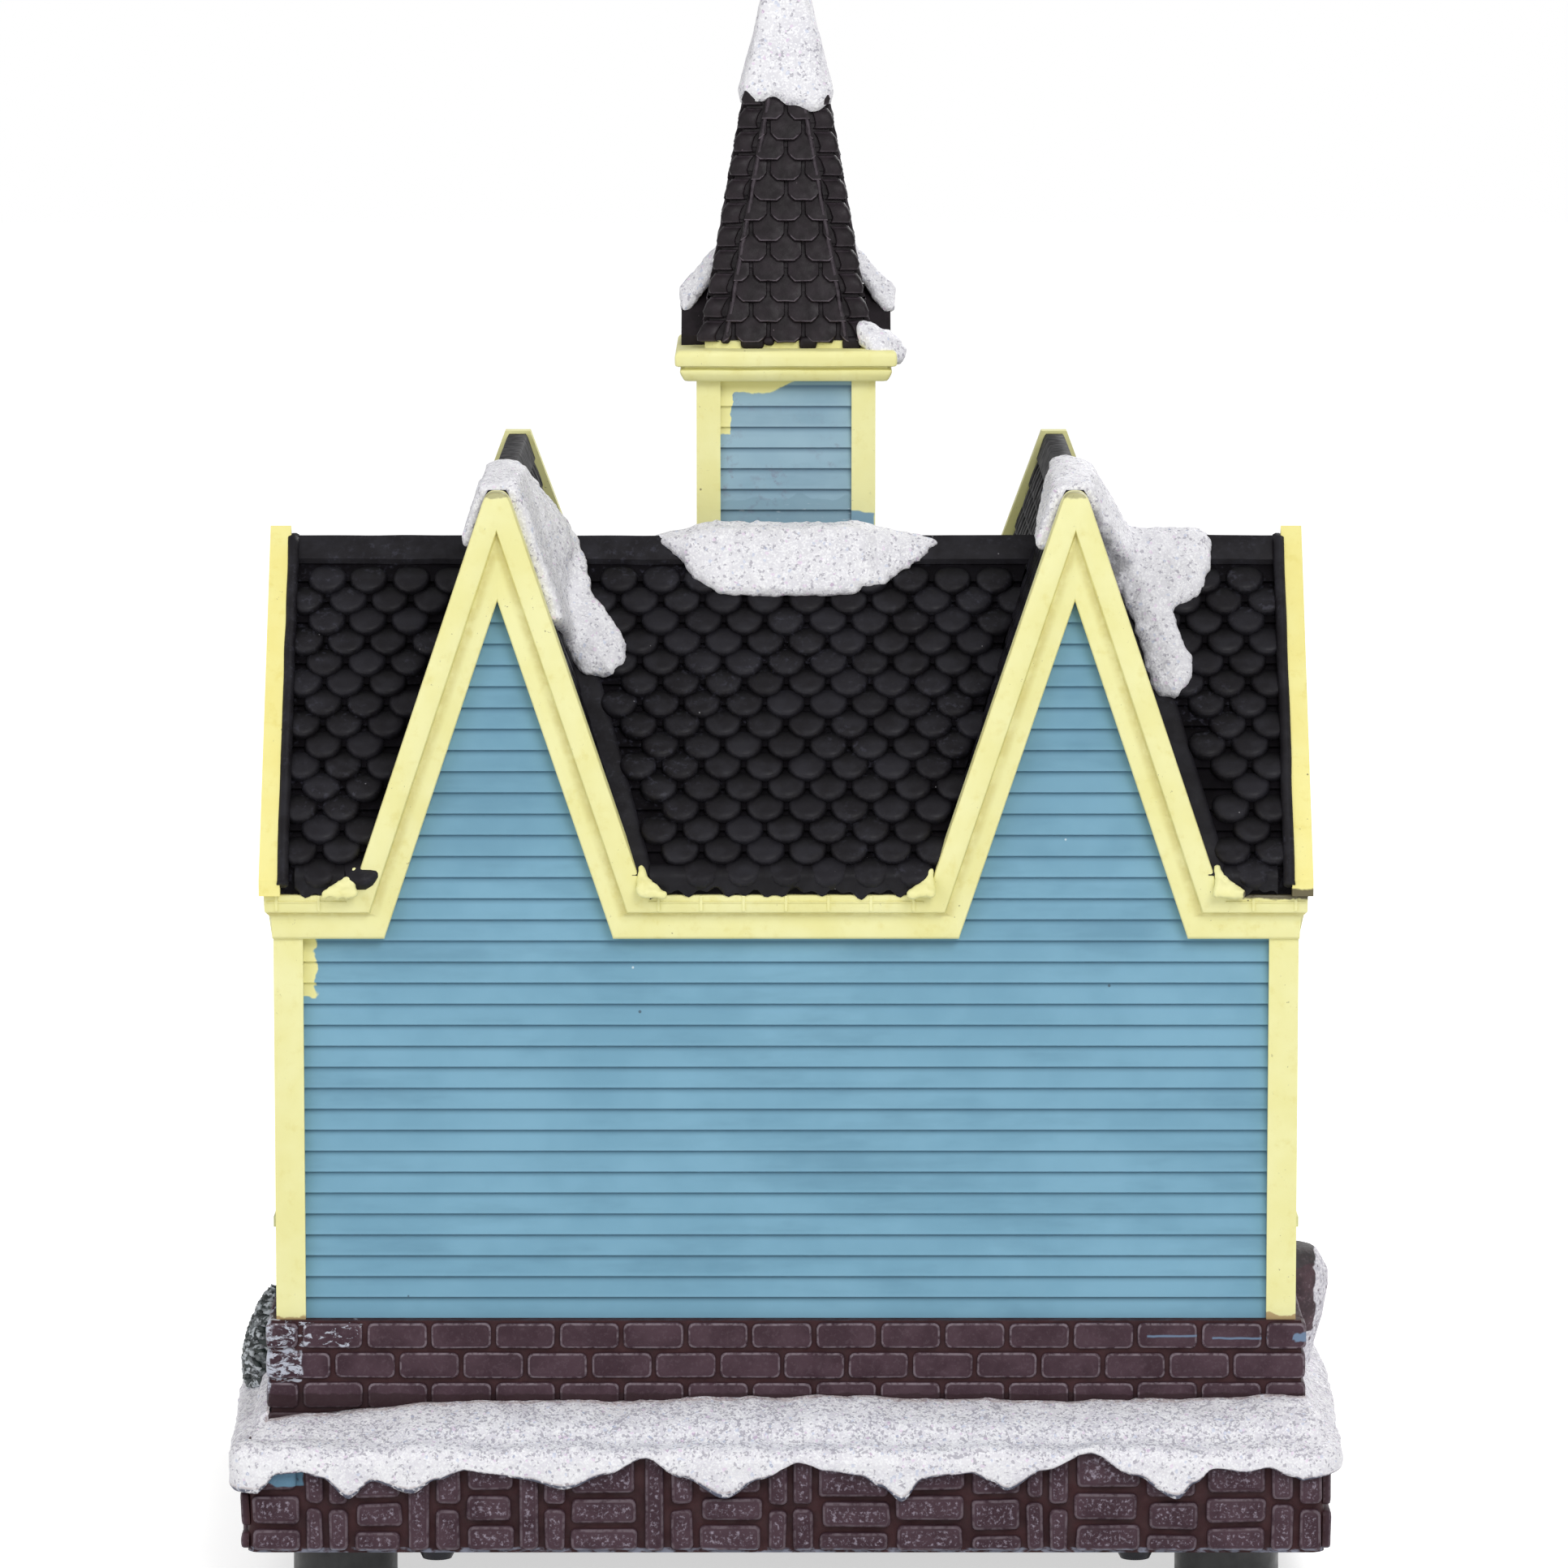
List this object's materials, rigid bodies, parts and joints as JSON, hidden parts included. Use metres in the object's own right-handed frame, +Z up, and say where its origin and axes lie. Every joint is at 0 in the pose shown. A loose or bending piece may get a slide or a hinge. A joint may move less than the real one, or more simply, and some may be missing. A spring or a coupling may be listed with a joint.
{
  "type": "christmas village house",
  "caption": "Lighted winter village building with steep gables, a steeple, clapboard walls, black scalloped roofs and a snowy brick base.",
  "frame": {"origin": "on the table under the middle of the house, at the underside of the feet", "axes": "+Z up along the steeple, the front door looks toward -Y, +X to the right of someone who looks at the front door"},
  "size_m": [0.1622, 0.1282, 0.2439],
  "materials": {
    "base_brick": "moulded, painted dark brown with lighter dry-brushed edges",
    "snow": "moulded, rough, painted white and strewn with glitter grains",
    "brick": "moulded bricks, painted dark brown with lighter dry-brushed edges",
    "plate": "moulded black plastic",
    "foot": "moulded black foot",
    "screw_steel": "zinc-plated screw",
    "bay_plastic": "moulded black plastic",
    "cover_plastic": "moulded black plastic",
    "cell": "printed sleeve without lettering",
    "contact_metal": "nickel-plated spring steel",
    "switch_plastic": "moulded white plastic",
    "board": "green circuit board",
    "lamp_lens": "warm white lamp body",
    "lead": "red insulation",
    "siding": "moulded clapboards, hand-painted dusty blue",
    "tower_siding": "moulded clapboards, hand-painted pale dusty blue",
    "trim": "hand-painted pale yellow",
    "shingle": "moulded scalloped shingles, glossy black paint",
    "spire_tile": "moulded tiles, very dark brown paint with lighter edges",
    "gablet": "very dark brown paint",
    "pane": "translucent amber pane",
    "door": "painted dark red",
    "wreath": "painted dark green",
    "step": "painted grey stone",
    "bush": "moulded leaves, dark green paint with white dry-brushing",
    "boulder": "moulded stone, brown paint"
  },
  "bodies": {
    "house": {"base_shell": "base_brick", "ground_snow": "snow", "yard_snow": "snow", "foundation": "brick", "bottom_plate": "plate", "feet": "foot", "plate_screws": "screw_steel", "house_screws": "screw_steel", "battery_box": "bay_plastic", "battery_cells": "cell", "battery_springs": "contact_metal", "contact_plates": "contact_metal", "switch_body": "bay_plastic", "lamp_board": "board", "hall_lamp": "lamp_lens", "tower_lamp": "lamp_lens", "lamp_leads": "lead", "rear_wall": "siding", "front_wall": "siding", "left_wall": "siding", "right_wall": "siding", "left_wing": "siding", "right_wing": "siding", "rear_trim": "trim", "front_trim": "trim", "left_wing_trim": "trim", "right_wing_trim": "trim", "left_rake_boards": "trim", "right_rake_boards": "trim", "corner_boards": "trim", "main_roof": "shingle", "left_gable_roof": "shingle", "right_gable_roof": "shingle", "tower_walls": "tower_siding", "tower_corner_boards": "trim", "tower_cornice": "trim", "spire": "spire_tile", "gablets": "gablet", "window_frames": "trim", "window_panes": "pane", "tower_louvres": "trim", "door_frame": "trim", "front_door": "door", "door_wreath": "wreath", "front_steps": "step", "ridge_snow": "snow", "left_gable_snow": "snow", "right_gable_snow": "snow", "spire_snow": "snow", "cornice_snow": "snow", "right_bush": "bush", "left_boulder": "boulder"},
    "battery_cover": {"battery_cover": "cover_plastic"},
    "switch_slider": {"switch_slider": "switch_plastic"}
  },
  "joints": [
    {"name": "battery_cover_slide", "type": "slide", "parent": "house", "child": "battery_cover", "axis": [0, -1, 0], "range_m": [0, 0.04]},
    {"name": "power_switch_slide", "type": "slide", "parent": "house", "child": "switch_slider", "axis": [1, 0, 0], "range_m": [0, 0.003]}
  ]
}
